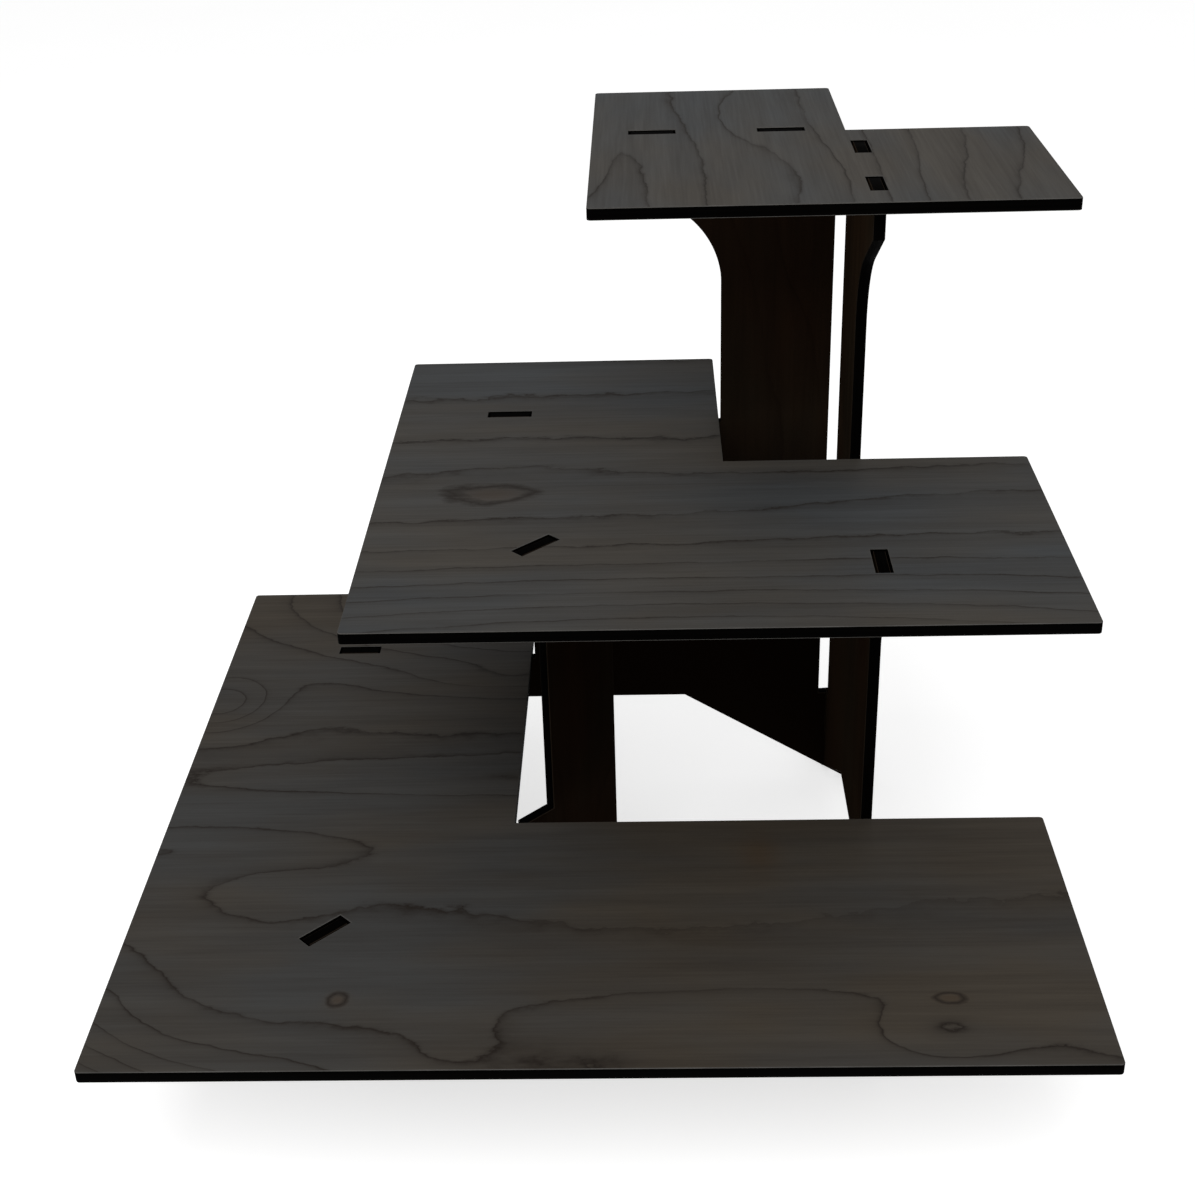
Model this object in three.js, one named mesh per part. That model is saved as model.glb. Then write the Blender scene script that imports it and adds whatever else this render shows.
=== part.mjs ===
// A tiered display table that slots together from flat boards. Three L-shaped shelves step up towards one
// corner, and three upright panels carry them: one runs left to right, one runs front to back, and one
// stands on the diagonal between them. The panels' tabs pass up through slots in the shelves.
// Millimetres, +X right, +Y back, +Z up. The origin is on the floor under the middle of the plan.
import * as THREE from "three";

// Boards
const sheet = 12;
const shelfCorner = 4;

// Shelf tops above the floor
const bottomHeight = 194;
const middleHeight = 502;
const topHeight = 820;

// Shelf plans: length from left to right, and how far each end lies beyond the axis where the panels cross
const bottomSide = 914;
const middleSide = 686;
const topSide = 457;
const rightReach = 182;
const bottomBack = 146;
const middleBack = 163;
const topBack = 182;

// Outer edges of the side panels' column, riser and foot, measured outwards from the crossing axis
const columnEdge = 138;
const riserEdge = 363;
const footEdge = 530;
const legWidth = 92;

// Diagonal panel: its leg stands inside the bottom shelf's inner corner, with a step between them
const legSetback = 50;
const stepDrop = 4;
const diagonalFootEdge = 740;
const webDepth = 90;
const webFlat = 74;

// Arms under the shelves
const armDepth = 55;
const lip = 33;
const shoulder = 12;
const flareRadius = 100;
const archRadius = 40;
const braceAngle = THREE.MathUtils.degToRad(31.7);

// Tabs: the top shelf's are measured from the crossing axis and from the shelf's edge, the others from the
// edge of the riser below them
const tabLength = 45;
const tabRecess = 1;
const innerTab = 76;
const topTabInset = 63;
const middleTabOut = 15;
const bottomTabOut = 47;
const diagonalMiddleTabOut = 3;
const diagonalBottomTabOut = 23;

// Cross lap at the corner: a heel behind the lap, then the foot that stands on the floor. The tail's top falls
// away from the lap at the brace's angle.
const heel = 19;
const cornerFoot = 27;

// Clearances
const slotSideGap = 2.5;
const slotEndGap = 2.5;
const notchGap = 3;
const lapGap = 0.3;
const seatGap = 0.3;
const tongueGap = 1;

const arcSteps = 10;

// Values that follow from the sizes above
const topUnder = topHeight - sheet;
const middleUnder = middleHeight - sheet;
const bottomUnder = bottomHeight - sheet;
const bottomNotch = riserEdge + notchGap;
const middleNotch = columnEdge + notchGap;
const topNotch = sheet / 2 + notchGap;
const archHeight = bottomUnder - armDepth;
const braceSlope = Math.tan(braceAngle);
const lapHalf = sheet / 2 + lapGap;
const braceFoot = -(lapHalf + heel);
const tailEnd = braceFoot - cornerFoot;
const tailTop = archHeight + (tailEnd + lapHalf) * braceSlope;
const cornerSetback = sheet / 2 + (sheet / 2 + tongueGap) * Math.SQRT2;

const topTab = topSide - rightReach - topTabInset;
const middleTab = riserEdge + middleTabOut;
const bottomTab = footEdge + bottomTabOut;
const diagonalLegEdge = bottomNotch * Math.SQRT2 - legSetback;
const diagonalMiddleTab = diagonalLegEdge + diagonalMiddleTabOut;
const diagonalBottomTab = diagonalFootEdge + diagonalBottomTabOut;

// Directions in which the panels run out from the crossing axis
const toLeft = Math.PI;
const toFront = -Math.PI / 2;
const toFrontLeft = (-3 * Math.PI) / 4;

const shelfFinish = { color: 0x3a3938, roughness: 0.6, metalness: 0 };
const panelFinish = { color: 0x1d1916, roughness: 0.7, metalness: 0 };

// Adds a corner to a path. A corner with a radius becomes an arc that touches both of its edges.
function addCorner(path, before, corner, after) {
  const [x, y, radius] = corner;
  const at = new THREE.Vector2(x, y);
  if (!radius) {
    path.lineTo(x, y);
    return;
  }
  const back = new THREE.Vector2(before[0], before[1]).sub(at);
  const on = new THREE.Vector2(after[0], after[1]).sub(at);
  const longest = Math.min(back.length(), on.length()) * 0.48;
  back.normalize();
  on.normalize();
  const half = Math.acos(back.dot(on)) / 2;
  const fitted = Math.min(radius, longest * Math.tan(half));
  const touch = fitted / Math.tan(half);
  const centre = back.clone().add(on).normalize().multiplyScalar(fitted / Math.sin(half)).add(at);
  const start = back.clone().multiplyScalar(touch).add(at).sub(centre);
  const end = on.clone().multiplyScalar(touch).add(at).sub(centre);
  const clockwise = start.cross(end) < 0;
  path.lineTo(start.x + centre.x, start.y + centre.y);
  path.absarc(centre.x, centre.y, fitted, start.angle(), end.angle(), clockwise);
}

// A closed outline through corners given as [x, y] or [x, y, radius], starting at a sharp one.
function outline(corners) {
  const shape = new THREE.Shape();
  const count = corners.length;
  shape.moveTo(corners[0][0], corners[0][1]);
  for (let i = 1; i < count; i += 1) {
    addCorner(shape, corners[i - 1], corners[i], corners[(i + 1) % count]);
  }
  return shape;
}

function extrude(shape) {
  return new THREE.ExtrudeGeometry(shape, { depth: sheet, bevelEnabled: false, curveSegments: arcSteps });
}

function armReach(tab) {
  return tab + tabLength / 2 + shoulder;
}

// Corners where a riser's edge flares out under a shelf to the end of its arm.
function flare(edge, reach, under) {
  const drop = lip + (reach - edge) * braceSlope;
  return [
    [edge, under - drop, flareRadius],
    [reach, under - lip],
    [reach, under],
  ];
}

// Corners of a tab on an arm's top edge, passed on the way in.
function tab(place, under) {
  const outer = place + tabLength / 2;
  const inner = place - tabLength / 2;
  const tip = under + sheet - tabRecess;
  return [
    [outer, under],
    [outer, tip],
    [inner, tip],
    [inner, under],
  ];
}

// Side panel, outwards along x and up along y. The left panel's lap is open above and the right panel's below.
function sidePanelShape(lapOpensUp, bottomTabs) {
  const braceAt = (x) => (x - braceFoot) * braceSlope;
  const lapMiddle = (archHeight + braceAt(0)) / 2;
  const lapBelow = [
    [-lapHalf, braceAt(-lapHalf)],
    [-lapHalf, lapMiddle + lapGap / 2],
    [lapHalf, lapMiddle + lapGap / 2],
    [lapHalf, braceAt(lapHalf)],
  ];
  const lapAbove = [
    [lapHalf, archHeight],
    [lapHalf, lapMiddle - lapGap / 2],
    [-lapHalf, lapMiddle - lapGap / 2],
    [-lapHalf, archHeight],
  ];
  return outline([
    [tailEnd, 0],
    [braceFoot, 0],
    ...(lapOpensUp ? [] : lapBelow),
    [braceFoot + archHeight / braceSlope, archHeight],
    [footEdge - legWidth, archHeight, archRadius],
    [footEdge - legWidth, 0],
    [footEdge, 0],
    ...flare(footEdge, armReach(bottomTab), bottomUnder),
    ...bottomTabs.flatMap((place) => tab(place, bottomUnder)),
    [riserEdge, bottomUnder],
    ...flare(riserEdge, armReach(middleTab), middleUnder),
    ...tab(middleTab, middleUnder),
    [columnEdge, middleUnder],
    ...flare(columnEdge, armReach(topTab), topUnder),
    ...tab(topTab, topUnder),
    ...tab(innerTab, topUnder),
    [cornerSetback, topUnder],
    [cornerSetback, archHeight],
    ...(lapOpensUp ? lapAbove : [[-lapHalf, archHeight]]),
    [tailEnd, tailTop],
  ]);
}

// Diagonal panel: a tongue in the gap at the corner, a web under the middle shelf, a leg, and the arm and
// foot under the bottom shelf. A step fills the bottom shelf's inner corner, just below its top.
function diagonalPanelShape() {
  const legInner = diagonalLegEdge - legWidth;
  const footInner = diagonalFootEdge - legWidth;
  const webUnder = middleUnder - webDepth;
  const webStart = middleNotch * Math.SQRT2;
  const webSeat = middleUnder - seatGap;
  const armSeat = bottomUnder - seatGap;
  const stepEnd = bottomNotch * Math.SQRT2 - sheet / 2 - notchGap;
  const slopeEnd = legInner - webFlat;
  return outline([
    [legInner, 0],
    [diagonalLegEdge, 0],
    [diagonalLegEdge, archHeight, archRadius],
    [footInner, archHeight, archRadius],
    [footInner, 0],
    [diagonalFootEdge, 0],
    ...flare(diagonalFootEdge, armReach(diagonalBottomTab), armSeat),
    ...tab(diagonalBottomTab, armSeat),
    [stepEnd, armSeat],
    [stepEnd, bottomHeight - stepDrop],
    [diagonalLegEdge, bottomHeight - stepDrop],
    ...flare(diagonalLegEdge, armReach(diagonalMiddleTab), webSeat),
    ...tab(diagonalMiddleTab, webSeat),
    [webStart, webSeat],
    [0, webSeat - webStart * braceSlope],
    [0, webUnder - slopeEnd * braceSlope],
    [slopeEnd, webUnder],
    [legInner, webUnder, archRadius],
  ]);
}

function panel(name, shape, heading) {
  const geometry = extrude(shape);
  geometry.translate(0, 0, -sheet / 2);
  geometry.rotateX(Math.PI / 2);
  const mesh = new THREE.Mesh(geometry, new THREE.MeshStandardMaterial(panelFinish));
  mesh.name = name;
  mesh.rotation.z = heading;
  return mesh;
}

// Slot for a tab at this distance along a panel that runs in this direction.
function slotHole(place, heading) {
  const halfLength = tabLength / 2 + slotEndGap;
  const halfWidth = sheet / 2 + slotSideGap;
  const corners = [
    [place - halfLength, -halfWidth],
    [place - halfLength, halfWidth],
    [place + halfLength, halfWidth],
    [place + halfLength, -halfWidth],
  ];
  const origin = new THREE.Vector2();
  const turned = corners.map(([x, y]) => new THREE.Vector2(x, y).rotateAround(origin, heading));
  return new THREE.Path(turned);
}

// L-shaped shelf whose outer corner is at the front left and whose notch is at the back right.
function shelf(name, { side, back, notch, height, slots }) {
  const front = rightReach - side;
  const shape = outline([
    [-notch, -notch],
    [-notch, back, shelfCorner],
    [front, back, shelfCorner],
    [front, front, shelfCorner],
    [rightReach, front, shelfCorner],
    [rightReach, -notch, shelfCorner],
  ]);
  shape.holes = slots.map(([place, heading]) => slotHole(place, heading));
  const mesh = new THREE.Mesh(extrude(shape), new THREE.MeshStandardMaterial(shelfFinish));
  mesh.name = name;
  mesh.position.z = height - sheet;
  return mesh;
}

const table = new THREE.Group();

table.add(
  panel("left_panel", sidePanelShape(true, [bottomTab]), toLeft),
  panel("right_panel", sidePanelShape(false, []), toFront),
  panel("diagonal_panel", diagonalPanelShape(), toFrontLeft),
  shelf("bottom_shelf", {
    side: bottomSide,
    back: bottomBack,
    notch: bottomNotch,
    height: bottomHeight,
    slots: [
      [bottomTab, toLeft],
      [diagonalBottomTab, toFrontLeft],
    ],
  }),
  shelf("middle_shelf", {
    side: middleSide,
    back: middleBack,
    notch: middleNotch,
    height: middleHeight,
    slots: [
      [middleTab, toLeft],
      [middleTab, toFront],
      [diagonalMiddleTab, toFrontLeft],
    ],
  }),
  shelf("top_shelf", {
    side: topSide,
    back: topBack,
    notch: topNotch,
    height: topHeight,
    slots: [
      [innerTab, toLeft],
      [topTab, toLeft],
      [innerTab, toFront],
      [topTab, toFront],
    ],
  }),
);

// The crossing axis stands where it centres the plan on the origin.
const backmost = Math.max(bottomBack, middleBack, topBack);
table.position.set(bottomSide / 2 - rightReach, (bottomSide - rightReach - backmost) / 2, 0);

export default table;
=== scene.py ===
# %% [markdown]
# A tiered display table that slots together from six flat boards: three L-shaped shelves that step up
# towards one corner, and three upright panels whose tabs pass up through slots in the shelves.
# The imported model gives every board its place and size, so it is loaded first and never moved.

# %% Load the frame
import math
from dataclasses import dataclass, fields

import bmesh
import bpy
from mathutils import Matrix, Vector


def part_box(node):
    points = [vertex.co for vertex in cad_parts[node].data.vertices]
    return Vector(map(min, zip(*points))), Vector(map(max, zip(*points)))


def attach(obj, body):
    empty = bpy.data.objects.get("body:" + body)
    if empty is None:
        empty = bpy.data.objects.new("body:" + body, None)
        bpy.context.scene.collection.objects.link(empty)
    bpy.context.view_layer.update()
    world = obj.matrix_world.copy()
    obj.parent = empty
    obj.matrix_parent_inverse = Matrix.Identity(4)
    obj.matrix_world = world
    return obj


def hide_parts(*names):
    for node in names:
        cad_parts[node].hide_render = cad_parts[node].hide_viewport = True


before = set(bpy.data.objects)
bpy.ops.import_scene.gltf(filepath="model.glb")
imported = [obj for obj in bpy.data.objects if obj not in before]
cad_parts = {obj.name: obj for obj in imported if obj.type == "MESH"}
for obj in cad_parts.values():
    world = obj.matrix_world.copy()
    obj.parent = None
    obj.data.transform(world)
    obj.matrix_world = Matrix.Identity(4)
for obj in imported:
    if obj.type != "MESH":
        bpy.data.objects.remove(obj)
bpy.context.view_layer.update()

scene = bpy.context.scene
print("nodes:", ", ".join(sorted(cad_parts)))

# %% [markdown]
# The camera stands a little above the table, in front of it and left of its tall corner, and looks down.
# A camera can be turned by angles or aimed with a constraint. Here its three directions are written out,
# because they were solved from the corners of the shelves.

# %% Camera
CAMERA_PLACE = Vector((0.0537, -1.6474, 1.3038))
CAMERA_FORWARD = Vector((-0.0289, 0.8788, -0.4763)).normalized()
CAMERA_RIGHT_HINT = Vector((0.99947, 0.0181, -0.0272))
IMAGE_PIXELS = 1195
FOCAL_PIXELS = 1818
SENSOR_WIDTH_MM = 36.0


def make_camera():
    data = bpy.data.cameras.new("camera")
    data.sensor_width = SENSOR_WIDTH_MM
    data.lens = SENSOR_WIDTH_MM * FOCAL_PIXELS / IMAGE_PIXELS
    camera = bpy.data.objects.new("camera", data)
    scene.collection.objects.link(camera)
    up = CAMERA_RIGHT_HINT.cross(CAMERA_FORWARD).normalized()
    right = CAMERA_FORWARD.cross(up)
    turn = Matrix((right, up, -CAMERA_FORWARD)).transposed()
    camera.matrix_world = Matrix.Translation(CAMERA_PLACE) @ turn.to_4x4()
    scene.camera = camera
    return camera


camera = make_camera()
print(f"camera: {camera.data.lens:.1f} mm lens, {CAMERA_PLACE.z:.2f} m above the floor")

# %% [markdown]
# Finishes and node-made shapes are both trees of nodes. Wired up by hand they soon become unreadable, so
# a small class wraps an output socket and lets Python do sums with it: an expression such as 1 - mask adds
# the Math node that it needs.

# %% Sums with sockets
class Wire:
    """A node's output socket, with the sums that the trees below use."""

    def __init__(self, socket):
        self.socket = socket
        self.nodes = Nodes(socket.id_data)

    def __add__(self, other):
        return self.nodes.math("ADD", self, other)

    def __sub__(self, other):
        return self.nodes.math("SUBTRACT", self, other)

    def __mul__(self, other):
        return self.nodes.math("MULTIPLY", self, other)

    def __pow__(self, other):
        return self.nodes.math("POWER", self, other)

    def __rsub__(self, other):
        return self.nodes.math("SUBTRACT", other, self)

    def __rpow__(self, other):
        return self.nodes.math("POWER", other, self)

    __radd__ = __add__
    __rmul__ = __mul__

    def output(self, name):
        """Another output of the same node."""
        return Wire(self.socket.node.outputs[name])


print("sums with sockets: + - * and **")

# %% [markdown]
# Every other node comes from one method, which takes the node's type, its settings and what goes into its
# sockets. The nodes that come up often have a short method of their own that calls it.

# %% Adding nodes
MIX_FIRST_COLOUR = 6
MIX_SECOND_COLOUR = 7
MIX_COLOUR_OUTPUT = 2


class Nodes:
    """Adds nodes to one tree."""

    def __init__(self, tree):
        self.tree = tree

    def add(self, kind, settings=None, inputs=None, output=0):
        node = self.tree.nodes.new(kind)
        for name, value in (settings or {}).items():
            if name == "items":
                # An Index Switch starts with two items.
                while len(node.index_switch_items) < value:
                    node.index_switch_items.new()
            else:
                setattr(node, name, value)
        for name, value in (inputs or {}).items():
            self.feed(node.inputs[name], value)
        return Wire(node.outputs[output]) if node.outputs else None

    def feed(self, socket, value):
        if isinstance(value, Wire):
            self.tree.links.new(value.socket, socket)
        else:
            socket.default_value = value

    def math(self, operation, *values):
        return self.add("ShaderNodeMath", {"operation": operation}, dict(enumerate(values)))

    def vector_math(self, operation, *values, output=0):
        return self.add("ShaderNodeVectorMath", {"operation": operation}, dict(enumerate(values)), output)

    def combine(self, x=0.0, y=0.0, z=0.0):
        return self.add("ShaderNodeCombineXYZ", None, {"X": x, "Y": y, "Z": z})

    def clamp(self, value):
        return self.add("ShaderNodeClamp", None, {"Value": value})

    def mix(self, factor, first, second):
        colours = {"Factor": factor, MIX_FIRST_COLOUR: first, MIX_SECOND_COLOUR: second}
        return self.add("ShaderNodeMix", {"data_type": "RGBA"}, colours, MIX_COLOUR_OUTPUT)

    def noise(self, vector, scale, detail=2.0, roughness=0.5):
        sizes = {"Vector": vector, "Scale": scale, "Detail": detail, "Roughness": roughness}
        return self.add("ShaderNodeTexNoise", None, sizes)

    def bump(self, height, strength, distance):
        sizes = {"Strength": strength, "Distance": distance, "Height": height}
        return self.add("ShaderNodeBump", None, sizes)


print("adding nodes: one method for any node, and short ones for sums, mixes, noise and bumps")

# %% [markdown]
# Every finish is one Principled shader. A new material comes with a ready-made pair of nodes, which are
# cleared, so that a finish holds only what its own lines put there.

# %% New materials
def new_material(name):
    material = bpy.data.materials.new(name)
    material.use_nodes = True
    material.node_tree.nodes.clear()
    return material, Nodes(material.node_tree)


def principled(nodes, settings):
    shader = nodes.add("ShaderNodeBsdfPrincipled", None, settings)
    nodes.add("ShaderNodeOutputMaterial", None, {"Surface": shader})


print("new materials: an empty tree, closed by a Principled shader")

# %% [markdown]
# Every board is cut from one sheet of plywood, so a few measures of the frame drive all that follows: the
# vertical line where the two side panels' middles cross, the sheet's thickness, and where each tab comes up.
# A tab's tip is the only place where a panel has corners just below the top of a shelf, four to a tab.

# %% Measures from the frame
SHELVES = ("bottom_shelf", "middle_shelf", "top_shelf")
PANELS = ("left_panel", "right_panel", "diagonal_panel")
TAB_TIP_DEPTH = 0.003
TAB_TIP_CORNERS = 4
CORNER_DIGITS = 5


def middle(node):
    low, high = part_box(node)
    return (low + high) / 2


CROSSING = Vector((middle("right_panel").x, middle("left_panel").y))
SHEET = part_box("top_shelf")[1].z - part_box("top_shelf")[0].z


def corners_of(node):
    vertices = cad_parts[node].data.vertices
    return {tuple(round(c, CORNER_DIGITS) for c in vertex.co) for vertex in vertices}


def tabs_through(shelf):
    """Plan place and heading of each tab that comes up through this shelf."""
    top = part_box(shelf)[1].z
    found = []
    for panel in PANELS:
        tips = [Vector(p).xy for p in corners_of(panel) if top - TAB_TIP_DEPTH < p[2] < top]
        tips.sort(key=lambda tip: (tip - CROSSING).length)
        for first in range(0, len(tips), TAB_TIP_CORNERS):
            tip = tips[first:first + TAB_TIP_CORNERS]
            place = sum(tip, Vector((0, 0))) / TAB_TIP_CORNERS
            out = place - CROSSING
            found.append((place, math.atan2(out.y, out.x)))
    return found


print(f"sheet {SHEET * 1000:.1f} mm, crossing at", tuple(round(c, 4) for c in CROSSING))
for shelf in SHELVES:
    print(shelf, "tabs:", len(tabs_through(shelf)))

# %% [markdown]
# The boards' faces are rotary-cut veneer under a dark stain. Peeling a log cuts its growth rings at a flat
# angle, so they show as contour lines: long loops, tongues and eyes. An image could carry them, but nodes in
# the board's own coordinates have no seam and stay sharp close up. The coordinates run along the grain and
# across it, and a seed sets each board apart. Wood is drawn out along its grain, so a noise has one scale
# along it and another across it, in waves to a metre. A swell is a smooth hump at a chosen place.

# %% A board's grain
GRAIN_NOISE = {
    # name: waves along, waves across, detail, roughness
    "drift": (2.6, 7.0, 1.0, 0.4),
    "shiver": (24.0, 44.0, 4.0, 0.62),
    "fibres": (9.0, 330.0, 3.0, 0.6),
    "streaks": (3.0, 60.0, 3.0, 0.6),
    "pores": (45.0, 1400.0, 1.0, 0.5),
    "patches": (3.0, 7.0, 3.0, 0.5),
    "blotches": (7.0, 24.0, 3.0, 0.55),
}


class Grain:
    """One board's coordinates, and the noises and swells that lie in them."""

    def __init__(self, nodes, along, across, seed):
        place = nodes.add("ShaderNodeTexCoord", output="Object")
        self.nodes = nodes
        self.seed = seed
        self.along = nodes.vector_math("DOT_PRODUCT", place, along, output="Value")
        self.across = nodes.vector_math("DOT_PRODUCT", place, across, output="Value")
        self.plan = nodes.combine(self.along, self.across, seed)

    def noise(self, name):
        along, across, detail, roughness = GRAIN_NOISE[name]
        waves = self.nodes.vector_math("MULTIPLY", self.plan, (along, across, 1.0))
        return self.nodes.noise(waves, 1.0, detail, roughness)

    def steps_from(self, place, size):
        """The way from a place, counted in sizes along and across the grain."""
        away = self.nodes.vector_math("SUBTRACT", self.plan, (*place, self.seed))
        return self.nodes.vector_math("DIVIDE", away, (*size, 1.0))

    def swell(self, place, size, rise):
        """A hump as high as its rise at the place, and all but gone two sizes away."""
        steps = self.steps_from(place, size)
        squared = self.nodes.vector_math("DOT_PRODUCT", steps, steps, output="Value")
        return math.e ** (-1.0 * squared) * rise


print("grain noises:", ", ".join(GRAIN_NOISE))

# %% [markdown]
# What sets one face apart from the next is kept together in a small record. A long list of arguments would
# do too, but a record gives each of them a name and a usual value. The rings are counted to a metre across
# the grain. Slow noise lets them drift, and fine noise makes them ragged. Swells are where the log bulged,
# each with its place, its size and how many rings it lifts. Lines fade at the faint places. A knot has a
# ring of its own and a rusty tint, and a spot only the tint. Painted shade darkens a face towards its foot,
# from full dark at one height to clear at another. The tones are a cool stain, a warm one and the dark of
# the lines.

# %% A face's settings
@dataclass
class Veneer:
    """One face's grain and stain. Places and sizes are in metres, along and across the grain."""

    along: tuple
    across: tuple
    seed: float
    rings: float
    tones: tuple
    gloss: float = 0.2
    start: float = 0.0
    drift: float = 0.5
    ragged: float = 0.16
    depth: float = 1.1
    swells: tuple = ()
    faint: tuple = ()
    knots: tuple = ()
    spots: tuple = ()
    # heights along the grain between which painted shade goes from full dark to clear
    shade_heights: tuple = ()


print("settings of a face:", ", ".join(field.name for field in fields(Veneer)))

# %% [markdown]
# The rings come from a field of heights: a slope across the grain, with the swells and the noise on top.
# Where the field passes a whole number there is a thin dark line, soft on one side. Real lines take the
# stain unevenly, so blotches break them up. Drawing each line as a curve would be slower to change: here one
# swell bends every line that passes it.

# %% Growth rings
NOISE_MIDDLE = 0.5
RING_RISE = 26.0
RING_FALL = 60.0
RING_HALO = 5.0
LINE_SHARE = 0.8
HALO_SHARE = 0.2
BREAK_CONTRAST = 2.4
BREAK_OFFSET = 0.35
KNOT_WOBBLE = 1.4
KNOT_SHARPNESS = 2.6


def ring_field(grain, veneer, shiver):
    """Heights that rise by one from each ring to the next."""
    field = grain.across * veneer.rings + veneer.start
    field = field + (grain.noise("drift") - NOISE_MIDDLE) * veneer.drift
    field = field + (shiver - NOISE_MIDDLE) * veneer.ragged
    for place, size, rise in veneer.swells:
        field = field + grain.swell(place, size, rise)
    return field


def knot_ring(grain, place, size, shiver):
    """A ragged closed ring around a knot."""
    nodes = grain.nodes
    span = nodes.vector_math("LENGTH", grain.steps_from(place, size), output="Value")
    span = span + (shiver - NOISE_MIDDLE) * KNOT_WOBBLE
    return nodes.clamp(1.0 - nodes.math("ABSOLUTE", span - 1.0) * KNOT_SHARPNESS)


def ring_lines(grain, veneer, shiver, blotches):
    """How dark the growth rings are at each point."""
    nodes = grain.nodes
    phase = nodes.math("FRACT", ring_field(grain, veneer, shiver))
    line = nodes.math("MAXIMUM", phase ** RING_RISE, (1.0 - phase) ** RING_FALL)
    line = line * nodes.clamp(blotches * BREAK_CONTRAST - BREAK_OFFSET)
    for place, size, loss in veneer.faint:
        line = line * (1.0 - grain.swell(place, size, loss))
    for place, size in veneer.knots:
        line = nodes.math("MAXIMUM", line, knot_ring(grain, place, size, shiver))
    return (line * LINE_SHARE + phase ** RING_HALO * HALO_SHARE) * veneer.depth


print(f"growth rings: {LINE_SHARE:.0%} line and {HALO_SHARE:.0%} halo")

# %% [markdown]
# The stain itself is thin, and the wood shows through it. Slow patches are bluer or browner, fibres and
# streaks run dark along the grain, and the rings lie over them. The fibres stand up a little and the rings
# lie a little deeper, so bump and roughness come from the same noises as the colour.

# %% Stained veneer
RUST = (0.0520, 0.0330, 0.0180, 1.0)
RUST_SHARE = 0.6
PATCH_CONTRAST = 3.4
PATCH_OFFSET = 1.2
FIBRE_SHARE = 0.4
STREAK_SHARE = 0.7
BLOTCH_SHARE = 0.35
STREAK_OFFSET = 0.555
FIBRE_RELIEF = 0.6
PORE_RELIEF = 0.5
RING_RELIEF = 0.4
VENEER_BUMP = {"strength": 0.35, "distance": 0.0004}
VENEER_ROUGHNESS = 0.55
FIBRE_ROUGHNESS = 0.16
RING_ROUGHNESS = 0.08


def stain_colour(grain, veneer, ring, fibres, blotches):
    nodes = grain.nodes
    cool, warm, dark = veneer.tones
    stain = nodes.mix(nodes.clamp(grain.noise("patches") * PATCH_CONTRAST - PATCH_OFFSET), cool, warm)
    for place, size in (*veneer.knots, *veneer.spots):
        stain = nodes.mix(grain.swell(place, size, RUST_SHARE), stain, RUST)
    streak = fibres * FIBRE_SHARE + grain.noise("streaks") * STREAK_SHARE
    streak = streak + blotches * BLOTCH_SHARE - STREAK_OFFSET
    streaked = nodes.mix(nodes.clamp(streak), stain, dark)
    colour = nodes.mix(nodes.clamp(ring), streaked, dark)
    # Painted shade: the colour goes to full dark towards the foot, below the lower of the two heights.
    if veneer.shade_heights:
        low, high = veneer.shade_heights
        painted_shade = (high - grain.along) * (1.0 / (high - low))
        colour = nodes.mix(nodes.clamp(painted_shade), colour, dark)
    return colour


def stained_veneer(name, veneer):
    material, nodes = new_material(name)
    grain = Grain(nodes, veneer.along, veneer.across, veneer.seed)
    shiver = grain.noise("shiver")
    fibres = grain.noise("fibres")
    blotches = grain.noise("blotches")
    ring = ring_lines(grain, veneer, shiver, blotches)
    relief = fibres * FIBRE_RELIEF + grain.noise("pores") * PORE_RELIEF - ring * RING_RELIEF
    principled(nodes, {
        "Base Color": stain_colour(grain, veneer, ring, fibres, blotches),
        "Roughness": VENEER_ROUGHNESS + fibres * FIBRE_ROUGHNESS + ring * RING_ROUGHNESS,
        "Specular IOR Level": veneer.gloss,
        "Normal": nodes.bump(relief, **VENEER_BUMP),
    })
    return material


print(f"stained veneer: relief of {VENEER_BUMP['distance'] * 1000:.1f} mm at most")
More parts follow.
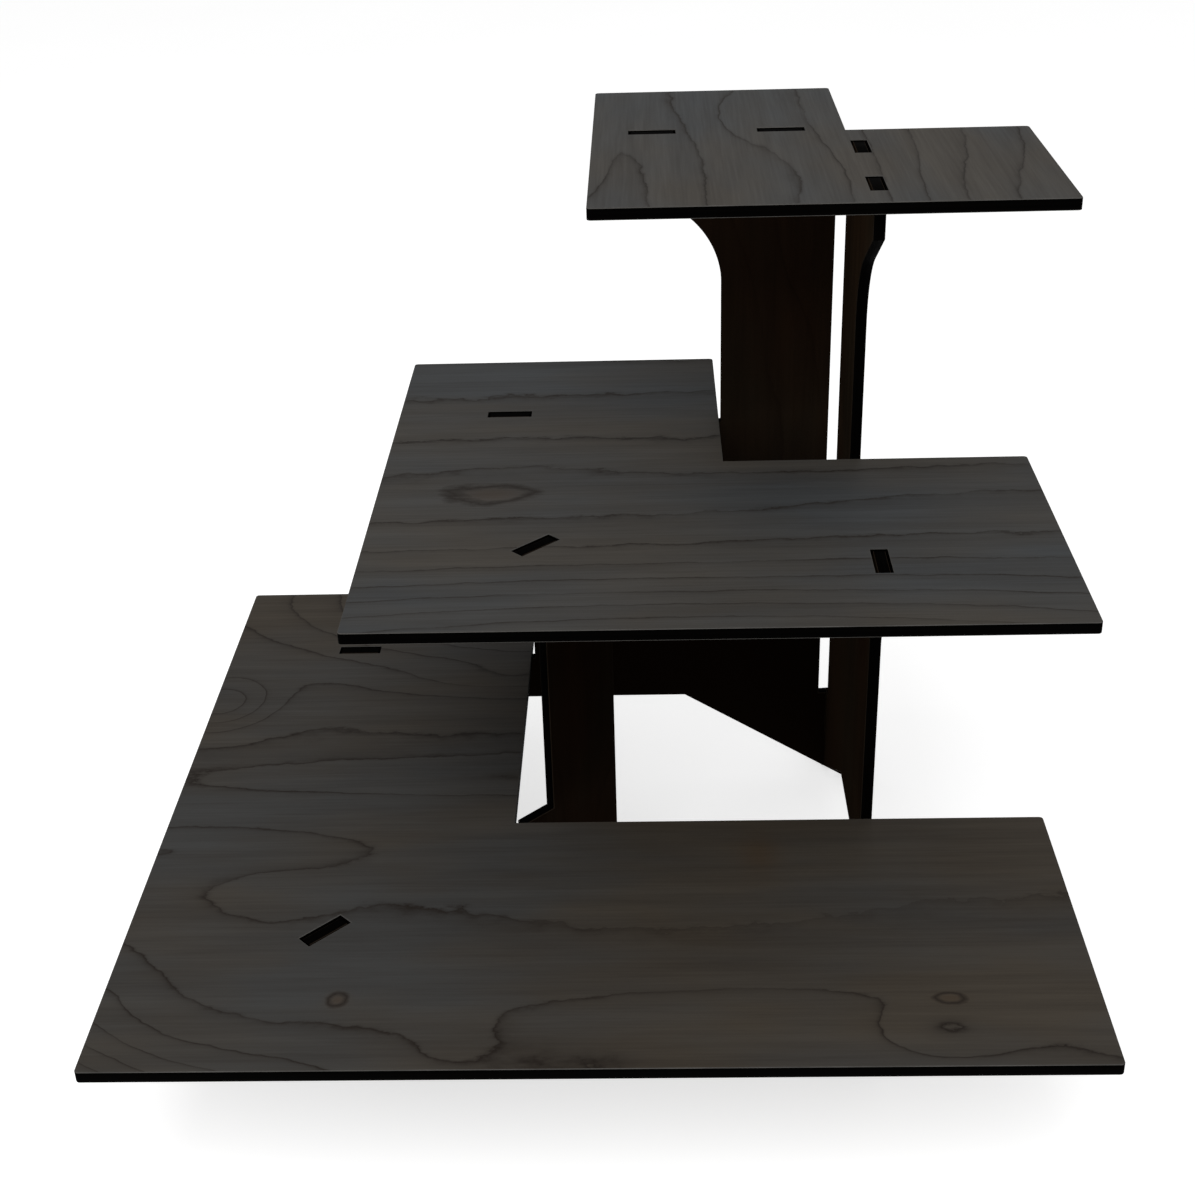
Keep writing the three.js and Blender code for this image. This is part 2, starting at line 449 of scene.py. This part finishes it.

# %% [markdown]
# The shelves' faces are charcoal grey. The bottom one is browner and the most lively, with wide loops on its
# left, an eye near its left edge and small knots towards the front. The middle one has long lines from left
# to right and one knot. On the top one the grain runs the other way, from front to back. The swells were
# chosen, a few for each large loop.

# %% Shelf finishes
RIGHTWARDS = (1.0, 0.0, 0.0)
BACKWARDS = (0.0, 1.0, 0.0)
CHARCOAL = (
    (0.0460, 0.0490, 0.0510, 1.0),
    (0.0550, 0.0485, 0.0400, 1.0),
    (0.0120, 0.0085, 0.0060, 1.0),
)
BROWN_CHARCOAL = (
    (0.0435, 0.0432, 0.0418, 1.0),
    (0.0505, 0.0412, 0.0305, 1.0),
    (0.0110, 0.0070, 0.0045, 1.0),
)
SHELF_VENEER = {
    "bottom_shelf": Veneer(
        along=RIGHTWARDS, across=BACKWARDS, seed=0.31, tones=BROWN_CHARCOAL,
        rings=3.0, start=1.55, drift=0.35, ragged=0.27,
        swells=(
            ((-0.52, -0.43), (0.10, 0.15), -3.0),
            ((-0.47, -0.51), (0.25, 0.08), -4.4),
            ((-0.13, -0.40), (0.035, 0.08), 0.3),
            ((0.05, -0.17), (0.33, 0.11), 0.45),
            ((-0.315, -0.212), (0.055, 0.036), 0.6),
            ((-0.44, -0.135), (0.19, 0.035), -1.1),
            ((-0.08, -0.005), (0.36, 0.035), 1.4),
            ((-0.45, 0.155), (0.06, 0.06), 3.4),
            ((-0.05, 0.40), (0.33, 0.17), 7.0),
            ((-0.12, 0.205), (0.10, 0.03), 0.9),
            ((0.13, -0.39), (0.22, 0.045), -1.0),
            ((0.25, -0.47), (0.20, 0.05), -0.7),
            ((0.31, -0.41), (0.055, 0.035), 1.2),
        ),
        faint=(
            ((0.33, -0.24), (0.19, 0.06), 0.9),
            ((0.06, -0.245), (0.15, 0.04), 0.75),
            ((0.14, -0.345), (0.09, 0.025), 0.7),
        ),
        knots=(
            ((-0.238, -0.365), (0.010, 0.010)),
            ((0.32, -0.37), (0.013, 0.007)),
        ),
        spots=(((0.16, -0.15), (0.020, 0.035)),),
    ),
    "middle_shelf": Veneer(
        along=RIGHTWARDS, across=BACKWARDS, seed=4.7, tones=CHARCOAL,
        rings=9.0, start=0.12, ragged=0.34,
        swells=(
            ((0.10, -0.30), (0.70, 0.16), -6.0),
            ((0.45, 0.02), (0.22, 0.10), -0.5),
            ((-0.08, 0.13), (0.14, 0.04), -0.25),
        ),
        knots=(((-0.11, 0.06), (0.040, 0.021)),),
    ),
    "top_shelf": Veneer(
        along=BACKWARDS, across=RIGHTWARDS, seed=9.2, tones=CHARCOAL,
        rings=18.2, start=-0.13, ragged=0.24,
        swells=(
            ((0.43, 0.0), (0.20, 0.10), 1.3),
            ((0.12, -0.012), (0.18, 0.032), 1.6),
            ((0.08, 0.225), (0.16, 0.06), -0.65),
            ((0.34, 0.15), (0.11, 0.035), 0.6),
            ((0.0, 0.40), (0.13, 0.10), 0.8),
        ),
    ),
}
SHELF_FINISH = {shelf: stained_veneer(shelf + "_veneer", SHELF_VENEER[shelf]) for shelf in SHELVES}
for shelf, veneer in SHELF_VENEER.items():
    print(shelf, "swells:", len(veneer.swells), "knots:", len(veneer.knots))

# %% [markdown]
# The panels took the same stain more heavily and read as a near-black brown. Their grain stands upright, the
# rings hardly show, and nothing shines. On the two side panels painted shade takes the colour to full dark
# towards the feet. The diagonal panel has the darkest tones all over: its dark stain made darker still as
# painted shade.

# %% Panel finishes
UPRIGHT = (0.0, 0.0, 1.0)
SLANT = math.sqrt(0.5)
PANEL_RUN = {
    "left_panel": (1.0, 0.0, 0.0),
    "right_panel": (0.0, 1.0, 0.0),
    "diagonal_panel": (SLANT, SLANT, 0.0),
}
UPRIGHT_BROWN = (
    (0.0140, 0.0098, 0.0064, 1.0),
    (0.0184, 0.0094, 0.0052, 1.0),
    (0.0030, 0.0017, 0.0010, 1.0),
)
SIDE_BROWN = (
    (0.0230, 0.0170, 0.0110, 1.0),
    (0.0290, 0.0165, 0.0095, 1.0),
    (0.0045, 0.0026, 0.0015, 1.0),
)
# The diagonal panel's tones: the dark stain, made darker still as painted shade.
NEAR_BLACK_AND_SHADE = (
    (0.0060, 0.0043, 0.0028, 1.0),
    (0.0078, 0.0040, 0.0022, 1.0),
    (0.0020, 0.0011, 0.0007, 1.0),
)
PANEL_STAIN_AND_SHADE = {
    # panel: seed, tones, heights of the painted shade
    "left_panel": (13.0, UPRIGHT_BROWN, (0.30, 0.50)),
    "right_panel": (16.0, SIDE_BROWN, (-0.05, 0.60)),
    "diagonal_panel": (19.0, NEAR_BLACK_AND_SHADE, ()),
}


def panel_veneer(panel):
    seed, tones, shade_heights = PANEL_STAIN_AND_SHADE[panel]
    veneer = Veneer(
        along=UPRIGHT, across=PANEL_RUN[panel], seed=seed, tones=tones, gloss=0.0,
        rings=14.0, drift=4.0, depth=0.3, shade_heights=shade_heights)
    return stained_veneer(panel + "_veneer", veneer)


PANEL_FINISH = {panel: panel_veneer(panel) for panel in PANELS}
print("panel finishes:", ", ".join(material.name for material in PANEL_FINISH.values()))

# %% [markdown]
# The cut edges of every board are burnt black by the cutter. Two attributes of the boards guide this finish:
# how deep a point lies in the sheet, which shows the plies faintly, and whether it is on the arris, the line
# where edge and face meet. There the black has rubbed off in places and the paler wood shows, and on the
# shelves the arris is also lighter than the face: a painted highlight, in patches.

# %% Cut edges
DEPTH_NAME = "sheet_depth"
ARRIS_NAME = "rubbed_arris"
PLIES = 5
SOOT_SCALE = 60.0
ARRIS_PATCH_SCALE = 22.0
SOOT_BLACK = (0.0002, 0.0002, 0.0002, 1.0)
PLY_BLACK = (0.0009, 0.0007, 0.0006, 1.0)
BLACK_SHARE = 0.5
ARRIS_LEAST = 0.4
ARRIS_RANGE = 0.8
PLY_RELIEF = 0.6
SOOT_RELIEF = 0.5
EDGE_BUMP = {"strength": 0.4, "distance": 0.0003}
EDGE_ROUGHNESS = 0.62
SOOT_ROUGHNESS = 0.2
EDGE_GLOSS = 0.008
# Arris colours: worn wood, and on the shelves also a painted highlight, lighter than the face.
SHELF_ARRIS_WEAR_AND_HIGHLIGHT = (0.085, 0.082, 0.076, 1.0)
PANEL_ARRIS = (0.018, 0.013, 0.009, 1.0)


def burnt_edge(name, arris_colour):
    material, nodes = new_material(name)
    place = nodes.add("ShaderNodeTexCoord", output="Object")
    depth = nodes.add("ShaderNodeAttribute", {"attribute_name": DEPTH_NAME}, output="Fac")
    arris = nodes.add("ShaderNodeAttribute", {"attribute_name": ARRIS_NAME}, output="Fac")
    soot = nodes.noise(place, SOOT_SCALE, detail=3.0)
    arris_patches = nodes.noise(place, ARRIS_PATCH_SCALE, detail=2.0)
    ply = nodes.math("PINGPONG", depth * PLIES, 1.0)
    black = nodes.mix(ply * BLACK_SHARE + soot * BLACK_SHARE, SOOT_BLACK, PLY_BLACK)
    # On the arris the black gives way in patches to worn wood and a painted highlight.
    wear_and_highlight = nodes.clamp(arris * (ARRIS_LEAST + arris_patches * ARRIS_RANGE))
    principled(nodes, {
        "Base Color": nodes.mix(wear_and_highlight, black, arris_colour),
        "Roughness": EDGE_ROUGHNESS + soot * SOOT_ROUGHNESS,
        "Specular IOR Level": EDGE_GLOSS,
        "Normal": nodes.bump(ply * PLY_RELIEF + soot * SOOT_RELIEF, **EDGE_BUMP),
    })
    return material


SHELF_EDGE = burnt_edge("shelf_edge", SHELF_ARRIS_WEAR_AND_HIGHLIGHT)
PANEL_EDGE = burnt_edge("panel_edge", PANEL_ARRIS)
print("cut edges:", SHELF_EDGE.name, "and", PANEL_EDGE.name)

# %% [markdown]
# All three shelves follow one rule: a square board with rounded corners, a square notch taken out of its
# back right corner, and a slot for each tab. The same rule is worth writing once, so one Geometry Nodes
# tree makes all three. It begins with the outline. A circle of six points is moved to the corners of the L,
# and a fillet rounds every corner except the inner one of the notch.

# %% A shelf's outline
CORNER_STEPS = 8
RADIUS_NAME = "corner_radius"
OUTLINE = (
    ("Notch X", "Notch Y"), ("Notch X", "Back"), ("Left", "Back"),
    ("Left", "Front"), ("Right", "Front"), ("Right", "Notch Y"),
)


def shelf_outline(nodes, size):
    """The L as a closed curve. The notch's inner corner comes first, and alone stays sharp."""
    corners = {str(i): nodes.combine(size(x), size(y)) for i, (x, y) in enumerate(OUTLINE)}
    index = nodes.add("GeometryNodeInputIndex")
    chosen = nodes.add(
        "GeometryNodeIndexSwitch", {"data_type": "VECTOR", "items": len(OUTLINE)},
        {"Index": index, **corners})
    loop = nodes.add("GeometryNodeMeshCircle", {"fill_type": "NONE"}, {"Vertices": len(OUTLINE)})
    loop = nodes.add("GeometryNodeSetPosition", None, {"Geometry": loop, "Position": chosen})
    radius = nodes.math("MINIMUM", index, 1.0) * size("Corner Radius")
    loop = nodes.add(
        "GeometryNodeStoreNamedAttribute", {"data_type": "FLOAT", "domain": "POINT"},
        {"Geometry": loop, "Name": RADIUS_NAME, "Value": radius})
    curve = nodes.add("GeometryNodeMeshToCurve", None, {"Mesh": loop})
    kept = nodes.add("GeometryNodeInputNamedAttribute", {"data_type": "FLOAT"}, {"Name": RADIUS_NAME})
    return nodes.add(
        "GeometryNodeFilletCurve", {"mode": "POLY"}, {"Curve": curve, "Count": CORNER_STEPS, "Radius": kept})


print("outline:", len(OUTLINE), "corners")

# %% [markdown]
# The mesh that the tree starts from is one point for each tab. An instance of one rectangle on every point,
# turned to the tab's heading, makes the slots. Instances are only a recipe, so they are realized here.

# %% A shelf's slots
HEADING_NAME = "heading"


def shelf_slots(nodes, tabs, size):
    """A rectangle, turned to the tab's heading, on each tab's place."""
    rectangle = nodes.add(
        "GeometryNodeCurvePrimitiveQuadrilateral", {"mode": "RECTANGLE"},
        {"Width": size("Slot Length"), "Height": size("Slot Width")})
    heading = nodes.add("GeometryNodeInputNamedAttribute", {"data_type": "FLOAT"}, {"Name": HEADING_NAME})
    slots = nodes.add(
        "GeometryNodeInstanceOnPoints", None,
        {"Points": tabs, "Instance": rectangle, "Rotation": nodes.combine(z=heading)})
    return nodes.add("GeometryNodeRealizeInstances", None, {"Geometry": slots})


print("slots: one rectangle on each tab, turned by the attribute", HEADING_NAME)

# %% [markdown]
# The whole tree fills what lies between the outline and the slots, lifts it to the shelf's height and
# extrudes it by the sheet's thickness. The extruded faces leave the underside open, so a flipped copy of the
# flat shape closes it, and merging makes the two one skin.

# %% Shelf tree
SHELF_SIZES = (
    "Left", "Right", "Front", "Back", "Notch X", "Notch Y", "Corner Radius", "Slot Length", "Slot Width",
    "Underside", "Thickness",
)
MERGE_DISTANCE = 0.00002


def shelf_sockets(tree):
    tree.interface.new_socket("Tabs", in_out="INPUT", socket_type="NodeSocketGeometry")
    for name in SHELF_SIZES:
        tree.interface.new_socket(name, in_out="INPUT", socket_type="NodeSocketFloat")
    for name in ("Face", "Edge"):
        tree.interface.new_socket(name, in_out="INPUT", socket_type="NodeSocketMaterial")
    tree.interface.new_socket("Shelf", in_out="OUTPUT", socket_type="NodeSocketGeometry")


def join(nodes, *parts):
    joined = nodes.add("GeometryNodeJoinGeometry")
    for part in reversed(parts):
        nodes.tree.links.new(part.socket, joined.socket.node.inputs[0])
    return joined


def make_shelf_tree():
    tree = bpy.data.node_groups.new("slotted_shelf", "GeometryNodeTree")
    shelf_sockets(tree)
    nodes = Nodes(tree)
    given = nodes.add("NodeGroupInput")
    size = given.output
    curves = join(nodes, shelf_outline(nodes, size), shelf_slots(nodes, given, size))
    flat = nodes.add("GeometryNodeFillCurve", {"mode": "NGONS"}, {"Curve": curves})
    flat = nodes.add(
        "GeometryNodeSetPosition", None, {"Geometry": flat, "Offset": nodes.combine(z=size("Underside"))})
    upwards = {"Offset": nodes.combine(z=1.0), "Offset Scale": size("Thickness"), "Individual": False}
    raised = nodes.add("GeometryNodeExtrudeMesh", {"mode": "FACES"}, {"Mesh": flat, **upwards})
    under = nodes.add("GeometryNodeFlipFaces", None, {"Mesh": flat})
    board = join(nodes, raised, under)
    board = nodes.add("GeometryNodeMergeByDistance", None, {"Geometry": board, "Distance": MERGE_DISTANCE})
    board = nodes.add("GeometryNodeRealizeInstances", None, {"Geometry": board})
    board = nodes.add("GeometryNodeSetMaterial", None, {"Geometry": board, "Material": given.output("Face")})
    board = nodes.add(
        "GeometryNodeSetMaterial", None,
        {"Geometry": board, "Selection": raised.output("Side"), "Material": given.output("Edge")})
    nodes.add("NodeGroupOutput", None, {"Shelf": board})
    return tree


shelf_tree = make_shelf_tree()
print("shelf tree:", len(shelf_tree.nodes), "nodes")

# %% [markdown]
# A board straight from the saw has knife-sharp edges, and no real edge is so sharp. A Bevel modifier eases
# each arris by a fraction of a millimetre, so that it catches a thin line of light. Then the board becomes
# a plain mesh, and its attributes and finishes are set from the way that each face points: along the
# sheet's normal it is veneer, square to it a cut edge, and between the two the arris, which the edge finish
# colours with worn wood and a painted highlight.

# %% Finishing a board
ARRIS_WIDTH = 0.0007
ARRIS_STEPS = 2
ARRIS_ANGLE = math.radians(30)
SMOOTH_ANGLE = math.radians(35)
FACE_LIMIT = 0.99
EDGE_LIMIT = 0.05


def ease(board):
    bevel = board.modifiers.new("eased_arris", "BEVEL")
    bevel.width = ARRIS_WIDTH
    bevel.segments = ARRIS_STEPS
    bevel.limit_method = "ANGLE"
    bevel.angle_limit = ARRIS_ANGLE


def settle(board):
    """Turns what the modifiers make into the object's own plain mesh."""
    bpy.context.view_layer.update()
    evaluated = board.evaluated_get(bpy.context.evaluated_depsgraph_get())
    mesh = bpy.data.meshes.new_from_object(evaluated)
    mesh.name = board.name
    board.modifiers.clear()
    board.data = mesh


def finish_board(board, normal, face, edge):
    """Sets the two finishes and the two attributes that the cut edges read."""
    mesh = board.data
    mesh.materials.clear()
    mesh.materials.append(face)
    mesh.materials.append(edge)
    heights = [vertex.co.dot(normal) for vertex in mesh.vertices]
    lowest = min(heights)
    depth = mesh.attributes.new(DEPTH_NAME, "FLOAT", "POINT")
    depth.data.foreach_set("value", [(height - lowest) / SHEET for height in heights])
    arris = mesh.attributes.new(ARRIS_NAME, "FLOAT", "FACE")
    mesh.set_sharp_from_angle(angle=SMOOTH_ANGLE)
    for polygon in mesh.polygons:
        facing = abs(polygon.normal.dot(normal))
        veneer = facing > FACE_LIMIT
        polygon.material_index = 0 if veneer else 1
        polygon.use_smooth = not veneer
        arris.data[polygon.index].value = float(EDGE_LIMIT < facing <= FACE_LIMIT)


print(f"arrises eased by {ARRIS_WIDTH * 1000:.1f} mm")

# %% [markdown]
# Each shelf is the tree with its own sizes. Its outer corners come from its node in the frame, its notch
# stands off from the crossing of the panels by a reach of its own, and its slots follow the tabs.

# %% Shelves
UP = Vector((0.0, 0.0, 1.0))
CORNER_RADIUS = 0.004
SLOT_LENGTH = 0.050
SLOT_WIDTH = 0.017
NOTCH_REACH = {"bottom_shelf": 0.366, "middle_shelf": 0.141, "top_shelf": 0.009}


def shelf_inputs(shelf):
    low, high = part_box(shelf)
    notch = CROSSING - Vector((1.0, 1.0)) * NOTCH_REACH[shelf]
    return {
        "Left": low.x, "Right": high.x, "Front": low.y, "Back": high.y,
        "Notch X": notch.x, "Notch Y": notch.y, "Corner Radius": CORNER_RADIUS,
        "Slot Length": SLOT_LENGTH, "Slot Width": SLOT_WIDTH,
        "Underside": low.z, "Thickness": high.z - low.z,
        "Face": SHELF_FINISH[shelf], "Edge": SHELF_EDGE,
    }


def tab_points(shelf):
    """A mesh of one point for each tab, with the tab's heading as an attribute."""
    tabs = tabs_through(shelf)
    mesh = bpy.data.meshes.new(shelf + "_board")
    mesh.from_pydata([(place.x, place.y, 0.0) for place, turn in tabs], [], [])
    heading = mesh.attributes.new(HEADING_NAME, "FLOAT", "POINT")
    heading.data.foreach_set("value", [turn for place, turn in tabs])
    return mesh


def make_shelf(shelf):
    board = bpy.data.objects.new(shelf + "_board", tab_points(shelf))
    scene.collection.objects.link(board)
    maker = board.modifiers.new("slotted_shelf", "NODES")
    maker.node_group = shelf_tree
    inputs = shelf_inputs(shelf)
    for item in shelf_tree.interface.items_tree:
        if item.in_out == "INPUT" and item.name in inputs:
            maker[item.identifier] = inputs[item.name]
    ease(board)
    settle(board)
    finish_board(board, UP, SHELF_FINISH[shelf], SHELF_EDGE)
    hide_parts(shelf)
    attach(board, shelf)
    return board


for shelf in SHELVES:
    board = make_shelf(shelf)
    print(board.name, "faces:", len(board.data.polygons))

# %% [markdown]
# The panels' outlines are each their own: arms, tabs, flares, arches and laps. They are already right in
# the frame, so a panel is a copy of its node with its loose triangles merged and its flat faces joined,
# eased and finished like the shelves.

# %% Panels
FLAT_ANGLE = math.radians(0.5)


def panel_copy(panel):
    shape = bmesh.new()
    shape.from_mesh(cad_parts[panel].data)
    bmesh.ops.remove_doubles(shape, verts=shape.verts, dist=MERGE_DISTANCE)
    bmesh.ops.dissolve_limit(
        shape, angle_limit=FLAT_ANGLE, verts=shape.verts, edges=shape.edges, use_dissolve_boundaries=False)
    mesh = bpy.data.meshes.new(panel + "_board")
    shape.to_mesh(mesh)
    shape.free()
    return mesh


def make_panel(panel):
    board = bpy.data.objects.new(panel + "_board", panel_copy(panel))
    scene.collection.objects.link(board)
    ease(board)
    settle(board)
    finish_board(board, Vector(PANEL_RUN[panel]).cross(UP), PANEL_FINISH[panel], PANEL_EDGE)
    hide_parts(panel)
    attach(board, "frame")
    return board


for panel in PANELS:
    board = make_panel(panel)
    print(board.name, "faces:", len(board.data.polygons))

# %% [markdown]
# The table stands on a plain pale floor. A white floor in such light would still render grey, so this one
# glows a little, evenly, and the soft shadow under the table stays.

# %% Floor
FLOOR_HALF = 14.0
FLOOR_CLOUDS = 1.5
FLOOR_GREYS = ((0.66, 0.66, 0.66, 1.0), (0.70, 0.70, 0.70, 1.0))
FLOOR_ROUGHNESS = 0.9
FLOOR_GLOSS = 0.1
FLOOR_GLOW = 0.65
WHITE = (1.0, 1.0, 1.0, 1.0)


def floor_finish():
    material, nodes = new_material("pale_floor")
    place = nodes.add("ShaderNodeTexCoord", output="Object")
    principled(nodes, {
        "Base Color": nodes.mix(nodes.noise(place, FLOOR_CLOUDS, detail=3.0), *FLOOR_GREYS),
        "Roughness": FLOOR_ROUGHNESS,
        "Specular IOR Level": FLOOR_GLOSS,
        "Emission Color": WHITE,
        "Emission Strength": FLOOR_GLOW,
    })
    return material


def make_floor():
    mesh = bpy.data.meshes.new("floor")
    corners = [(-1, -1), (1, -1), (1, 1), (-1, 1)]
    mesh.from_pydata([(x * FLOOR_HALF, y * FLOOR_HALF, 0.0) for x, y in corners], [], [(0, 1, 2, 3)])
    mesh.materials.append(floor_finish())
    floor = bpy.data.objects.new("floor", mesh)
    scene.collection.objects.link(floor)


make_floor()
print(f"floor: {2 * FLOOR_HALF:.0f} m square")

# %% [markdown]
# Two wide soft lights do the work: a weak one above, and a stronger one high in front, which brightens the
# fronts of the shelves' tops. The pale surroundings fill the shadows, so the tops read as charcoal while the
# panels stay nearly black.

# %% Light
SOFTBOXES = {
    # name: place, width in metres, power in watts
    "top_softbox": ((0.0, -0.2, 3.2), 3.0, 14.0),
    "front_softbox": ((-0.4, -3.2, 4.0), 2.6, 120.0),
}
LIGHT_AIM = Vector((0.0, 0.0, 0.35))
SKY_STRENGTH = 0.44


def make_softbox(name, place, width, power):
    data = bpy.data.lights.new(name, "AREA")
    data.size = width
    data.energy = power
    softbox = bpy.data.objects.new(name, data)
    softbox.location = place
    softbox.rotation_euler = (LIGHT_AIM - Vector(place)).to_track_quat("-Z", "Y").to_euler()
    scene.collection.objects.link(softbox)


def make_surroundings():
    world = bpy.data.worlds.new("pale_surroundings")
    world.use_nodes = True
    sky = world.node_tree.nodes["Background"]
    sky.inputs["Color"].default_value = WHITE
    sky.inputs["Strength"].default_value = SKY_STRENGTH
    scene.world = world


for name, (place, width, power) in SOFTBOXES.items():
    make_softbox(name, place, width, power)
make_surroundings()
scene.view_settings.view_transform = "Standard"
print("light:", ", ".join(SOFTBOXES), "and pale surroundings")
